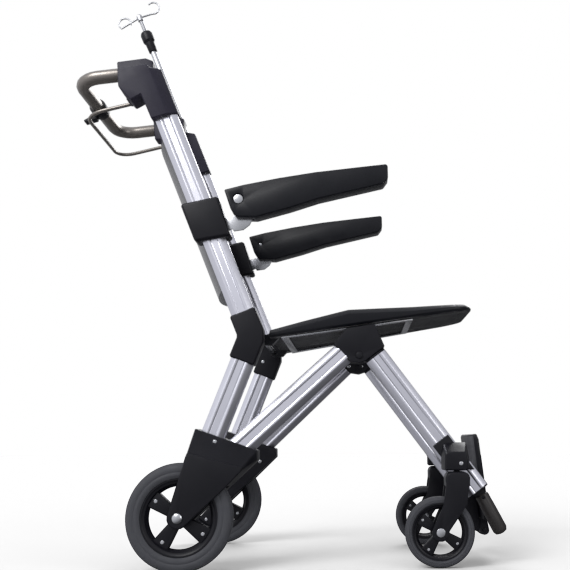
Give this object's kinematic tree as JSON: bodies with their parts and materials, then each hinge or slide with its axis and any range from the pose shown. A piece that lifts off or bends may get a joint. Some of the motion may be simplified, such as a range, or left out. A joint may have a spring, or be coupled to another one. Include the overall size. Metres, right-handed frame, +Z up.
{
  "type": "stair chair",
  "caption": "Folding transfer chair: tube frame with sling back and hinged seat, armrests, footplate and lift grips, rear wheels, swivel casters, push bar and telescopic drip pole.",
  "frame": {"origin": "on the floor, in the middle of the footprint's length and width (the bottom centre of the bounding box)", "axes": "+X points the way a sitter faces, +Y to the sitter's left, +Z up"},
  "size_m": [0.9154, 0.4916, 1.3689],
  "materials": {
    "aluminium": "satin anodised, bright silver",
    "steel": "bright, lightly brushed",
    "bar": "satin, warm bronze grey",
    "housing": "fine-grained dark grey-black moulding",
    "black": "satin black moulding",
    "moulding": "satin black with a soft sheen",
    "tyre": "matt dark grey, solid",
    "grip": "matt dark brown-black",
    "fabric": "plain dark grey woven"
  },
  "bodies": {
    "frame": {"rear_housing_left": "black", "rear_housing_right": "black", "rear_leg_left": "aluminium", "rear_leg_right": "aluminium", "knee_sleeve_left": "black", "knee_sleeve_right": "black", "upright_left": "aluminium", "upright_right": "aluminium", "diagonal_left": "aluminium", "diagonal_right": "aluminium", "hub_bracket_left": "black", "hub_bracket_right": "black", "hub_crossbeam": "black", "top_housing_left": "housing", "top_housing_right": "housing", "push_bar": "bar", "lever_clamp": "black", "arm_carrier_left": "black", "arm_carrier_right": "black", "arm_bracket_left": "steel", "arm_bracket_right": "steel", "backrest_sling": "fabric", "seat_hinge_bar": "steel", "rear_axle_left": "steel", "rear_axle_right": "steel", "fold_pin_left": "black", "fold_pin_right": "black"},
    "front_frame": {"front_leg_left": "aluminium", "front_leg_right": "aluminium", "leg_knuckle_left": "black", "leg_knuckle_right": "black", "front_cross_tube": "aluminium", "caster_bracket_left": "black", "caster_bracket_right": "black", "lift_hinge_left": "black", "lift_hinge_right": "black", "foot_bracket": "black"},
    "seat": {"seat_shell": "moulding", "seat_strap": "steel"},
    "footplate": {"footplate": "black"},
    "release_bail": {"release_bail": "bar"},
    "pole_tube": {"pole_tube": "steel"},
    "twist_collar": {"twist_collar": "black"},
    "drip_rod": {"drip_rod": "steel"},
    "rear_wheel_left": {"rear_rim_left": "black", "rear_tyre_left": "tyre"},
    "caster_left": {"caster_fork_left": "black", "caster_axle_left": "steel"},
    "caster_wheel_left": {"caster_rim_left": "black", "caster_tyre_left": "tyre"},
    "armrest_left": {"armrest_left": "moulding"},
    "lift_grip_left": {"lift_grip_left": "grip"},
    "rear_wheel_right": {"rear_rim_right": "black", "rear_tyre_right": "tyre"},
    "caster_right": {"caster_fork_right": "black", "caster_axle_right": "steel"},
    "caster_wheel_right": {"caster_rim_right": "black", "caster_tyre_right": "tyre"},
    "armrest_right": {"armrest_right": "moulding"},
    "lift_grip_right": {"lift_grip_right": "grip"}
  },
  "joints": [
    {"name": "front_fold", "type": "hinge", "parent": "frame", "child": "front_frame", "pos_m": [0.16793, 0, 0.41054], "axis": [0, 1, 0], "range_deg": [0, 55]},
    {"name": "seat_fold", "type": "hinge", "parent": "frame", "child": "seat", "pos_m": [-0.03014, 0, 0.446], "axis": [0, -1, 0], "range_deg": [0, 80]},
    {"name": "footplate_fold", "type": "hinge", "parent": "front_frame", "child": "footplate", "pos_m": [0.42386, 0, 0.0575], "axis": [0, 1, 0], "range_deg": [0, 95]},
    {"name": "release_squeeze", "type": "hinge", "parent": "frame", "child": "release_bail", "pos_m": [-0.30314, 0, 0.956], "axis": [0, 1, 0], "range_deg": [0, 18], "stiffness_Nm_per_rad": 0.8, "springref_deg": -28.65},
    {"name": "pole_slide", "type": "slide", "parent": "frame", "child": "pole_tube", "axis": [-0.3746, 0, 0.9272], "range_m": [-0.19, 0]},
    {"name": "collar_twist", "type": "hinge", "parent": "pole_tube", "child": "twist_collar", "pos_m": [-0.35635, 0.181, 1.2299], "axis": [-0.3746, 0, 0.9272], "range_deg": [0, 90]},
    {"name": "rod_slide", "type": "slide", "parent": "pole_tube", "child": "drip_rod", "axis": [-0.3746, 0, 0.9272], "range_m": [-0.025, 0.12]},
    {"name": "rear_roll_left", "type": "hinge", "parent": "frame", "child": "rear_wheel_left", "pos_m": [-0.16814, 0.217, 0.1], "axis": [0, 1, 0], "continuous": true},
    {"name": "swivel_left", "type": "hinge", "parent": "front_frame", "child": "caster_left", "pos_m": [0.35586, 0.175, 0.19], "axis": [0, 0, 1], "range_deg": [-180, 95]},
    {"name": "caster_roll_left", "type": "hinge", "parent": "caster_left", "child": "caster_wheel_left", "pos_m": [0.32086, 0.175, 0.0665], "axis": [0, 1, 0], "continuous": true},
    {"name": "armrest_fold_left", "type": "hinge", "parent": "frame", "child": "armrest_left", "pos_m": [-0.07324, 0.185, 0.7192], "axis": [0, -1, 0], "range_deg": [0, 95]},
    {"name": "lift_fold_left", "type": "hinge", "parent": "front_frame", "child": "lift_grip_left", "pos_m": [0.41186, 0.1265, 0.128], "axis": [0, -1, 0], "range_deg": [0, 62]},
    {"name": "rear_roll_right", "type": "hinge", "parent": "frame", "child": "rear_wheel_right", "pos_m": [-0.16814, -0.217, 0.1], "axis": [0, 1, 0], "continuous": true},
    {"name": "swivel_right", "type": "hinge", "parent": "front_frame", "child": "caster_right", "pos_m": [0.35586, -0.175, 0.19], "axis": [0, 0, 1], "range_deg": [-95, 180]},
    {"name": "caster_roll_right", "type": "hinge", "parent": "caster_right", "child": "caster_wheel_right", "pos_m": [0.32086, -0.175, 0.0665], "axis": [0, 1, 0], "continuous": true},
    {"name": "armrest_fold_right", "type": "hinge", "parent": "frame", "child": "armrest_right", "pos_m": [-0.07324, -0.185, 0.7192], "axis": [0, -1, 0], "range_deg": [0, 95]},
    {"name": "lift_fold_right", "type": "hinge", "parent": "front_frame", "child": "lift_grip_right", "pos_m": [0.41186, -0.1265, 0.128], "axis": [0, -1, 0], "range_deg": [0, 62]}
  ]
}
